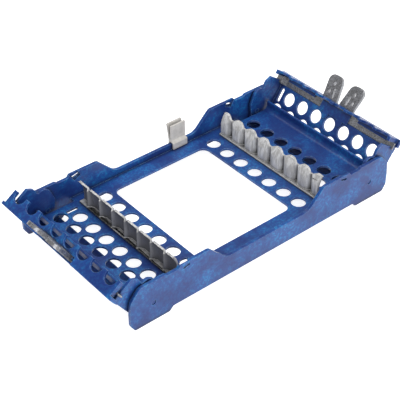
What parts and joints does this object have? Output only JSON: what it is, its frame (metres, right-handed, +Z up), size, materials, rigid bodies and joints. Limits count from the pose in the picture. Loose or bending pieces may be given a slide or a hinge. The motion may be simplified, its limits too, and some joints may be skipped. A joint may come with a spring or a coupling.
{
  "type": "dental instrument cassette",
  "caption": "Open plastic tray for dental hand instruments, with comb rails, a floor window, drain holes, a strip clip and a hinged, latching lid at each end.",
  "frame": {"origin": "mid length and mid width of the side walls, on the surface that the feet stand on", "axes": "+X along the length to the right lid, +Y to the long wall that carries the clip, +Z up"},
  "size_m": [0.2438, 0.1142, 0.0476],
  "materials": {
    "plastic_blue": "satin moulded, slightly glossy",
    "comb_gray": "satin soft plastic",
    "clip_gray": "satin",
    "steel_sheet": "bead blasted, mottled",
    "pin_steel": "satin"
  },
  "bodies": {
    "tray": {"frame": "plastic_blue", "rail_left": "comb_gray", "rail_right": "comb_gray", "hinge_pin_left_near": "plastic_blue", "hinge_pin_left_far": "plastic_blue", "hinge_pin_right_near": "plastic_blue", "hinge_pin_right_far": "plastic_blue"},
    "strip_clip": {"wall_clip": "clip_gray"},
    "left_lid": {"lid_left": "plastic_blue", "latch_cover_left": "plastic_blue", "latch_spring_left": "pin_steel"},
    "left_near_latch": {"latch_bar_left_near": "steel_sheet", "finger_lever_left_near": "steel_sheet", "lever_rivets_left_near": "pin_steel"},
    "left_far_latch": {"latch_bar_left_far": "steel_sheet", "finger_lever_left_far": "steel_sheet", "lever_rivets_left_far": "pin_steel"},
    "right_lid": {"lid_right": "plastic_blue", "latch_cover_right": "plastic_blue", "latch_spring_right": "pin_steel"},
    "right_near_latch": {"latch_bar_right_near": "steel_sheet", "finger_lever_right_near": "steel_sheet", "lever_rivets_right_near": "pin_steel"},
    "right_far_latch": {"latch_bar_right_far": "steel_sheet", "finger_lever_right_far": "steel_sheet", "lever_rivets_right_far": "pin_steel"}
  },
  "joints": [
    {"name": "left_lid_hinge", "type": "hinge", "parent": "tray", "child": "left_lid", "pos_m": [-0.0857, 0, 0.0135], "axis": [0, 1, 0], "range_deg": [0, 112]},
    {"name": "right_lid_hinge", "type": "hinge", "parent": "tray", "child": "right_lid", "pos_m": [0.0857, 0, 0.0135], "axis": [0, -1, 0], "range_deg": [0, 112]},
    {"name": "left_near_latch_slide", "type": "slide", "parent": "left_lid", "child": "left_near_latch", "axis": [0, -1, 0], "range_m": [0, 0.0011], "stiffness_N_per_m": 300, "springref_m": 0.002, "deforming": ["latch_spring_left"]},
    {"name": "left_far_latch_slide", "type": "slide", "parent": "left_lid", "child": "left_far_latch", "axis": [0, 1, 0], "range_m": [0, 0.0011], "stiffness_N_per_m": 300, "springref_m": 0.002},
    {"name": "right_near_latch_slide", "type": "slide", "parent": "right_lid", "child": "right_near_latch", "axis": [0, -1, 0], "range_m": [0, 0.0011], "stiffness_N_per_m": 300, "springref_m": 0.002, "deforming": ["latch_spring_right"]},
    {"name": "right_far_latch_slide", "type": "slide", "parent": "right_lid", "child": "right_far_latch", "axis": [0, 1, 0], "range_m": [0, 0.0011], "stiffness_N_per_m": 300, "springref_m": 0.002},
    {"name": "clip_slide", "type": "slide", "parent": "tray", "child": "strip_clip", "axis": [1, 0, 0], "range_m": [-0.04, 0.004]}
  ],
  "couplings": [
    {"joint": "left_far_latch_slide", "follows": "left_near_latch_slide", "ratio": 1},
    {"joint": "right_far_latch_slide", "follows": "right_near_latch_slide", "ratio": 1}
  ]
}
